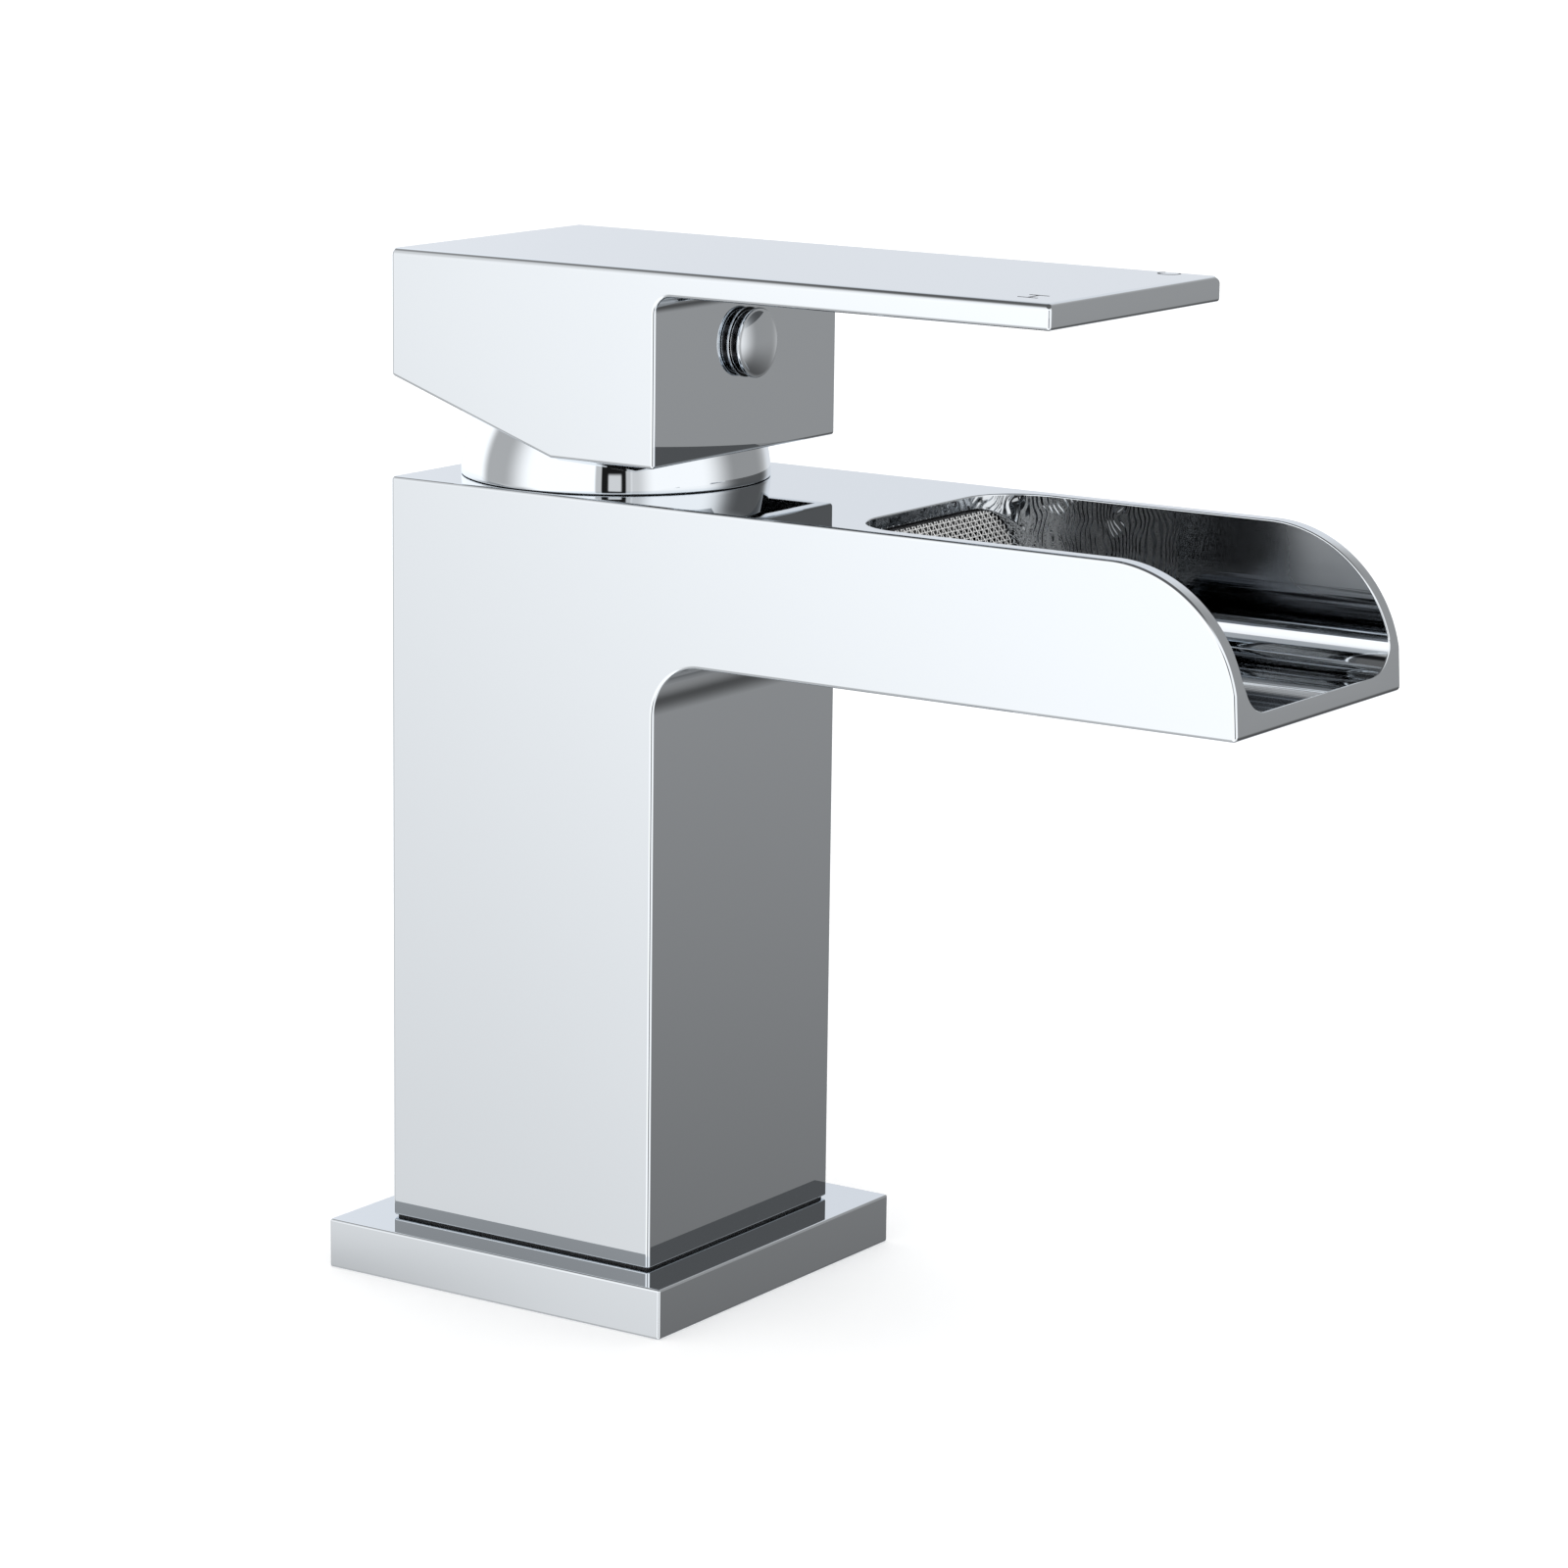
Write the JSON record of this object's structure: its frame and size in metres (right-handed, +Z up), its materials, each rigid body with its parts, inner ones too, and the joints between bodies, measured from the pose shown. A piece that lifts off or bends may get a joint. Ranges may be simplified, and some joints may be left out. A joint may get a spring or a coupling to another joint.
{
  "type": "waterfall basin faucet",
  "caption": "Deck-mounted single-lever basin mixer tap with a square column, an open waterfall spout and a flat lever over a domed cartridge cover.",
  "frame": {"origin": "centre of the flange's underside, where it rests on the basin deck, on the column's axis", "axes": "+Z up along the column, -Y along the spout towards the user, +X to the user's right (the cold side)"},
  "size_m": [0.0592, 0.1447, 0.1495],
  "materials": {
    "chrome": "bright chrome plate on a polished brass or zinc casting",
    "brass": "as machined",
    "steel": "bright stainless steel",
    "rubber": "black moulded rubber",
    "plastic": "white moulded acetal",
    "ceramic": "lapped alumina",
    "black_plastic": "black moulded acetal"
  },
  "bodies": {
    "faucet_body": {"base_flange": "chrome", "flange_seal": "rubber", "column_gasket": "rubber", "body_casting": "chrome", "inlet_block": "brass", "hot_supply_tube": "brass", "cold_supply_tube": "brass", "tube_seals": "rubber", "spout_screen_mesh": "steel", "spout_screen_frame": "black_plastic", "cartridge_base": "plastic", "cartridge_port_seals": "rubber", "fixed_disc": "ceramic", "cartridge_housing": "plastic", "housing_seal": "rubber", "retaining_nut": "brass", "dome_cover": "chrome", "dome_seal": "rubber"},
    "turret": {"turret": "plastic", "turret_seal": "rubber", "stem_pin": "steel"},
    "lever": {"stem": "brass", "handle": "chrome", "grub_screw": "steel", "index_plug": "chrome"},
    "disc": {"moving_disc": "ceramic", "disc_carrier": "plastic"}
  },
  "joints": [
    {"name": "temperature_turn", "type": "hinge", "parent": "faucet_body", "child": "turret", "pos_m": [0, 0, 0.1164], "axis": [0, 0, 1], "range_deg": [-50, 50]},
    {"name": "handle_lift", "type": "hinge", "parent": "turret", "child": "lever", "pos_m": [0, 0, 0.1164], "axis": [-1, 0, 0], "range_deg": [0, 20]},
    {"name": "disc_slide", "type": "slide", "parent": "turret", "child": "disc", "axis": [0, -1, 0], "range_m": [0, 0.0053]}
  ],
  "couplings": [
    {"joint": "disc_slide", "follows": "handle_lift", "m_per_rad": 0.015}
  ]
}
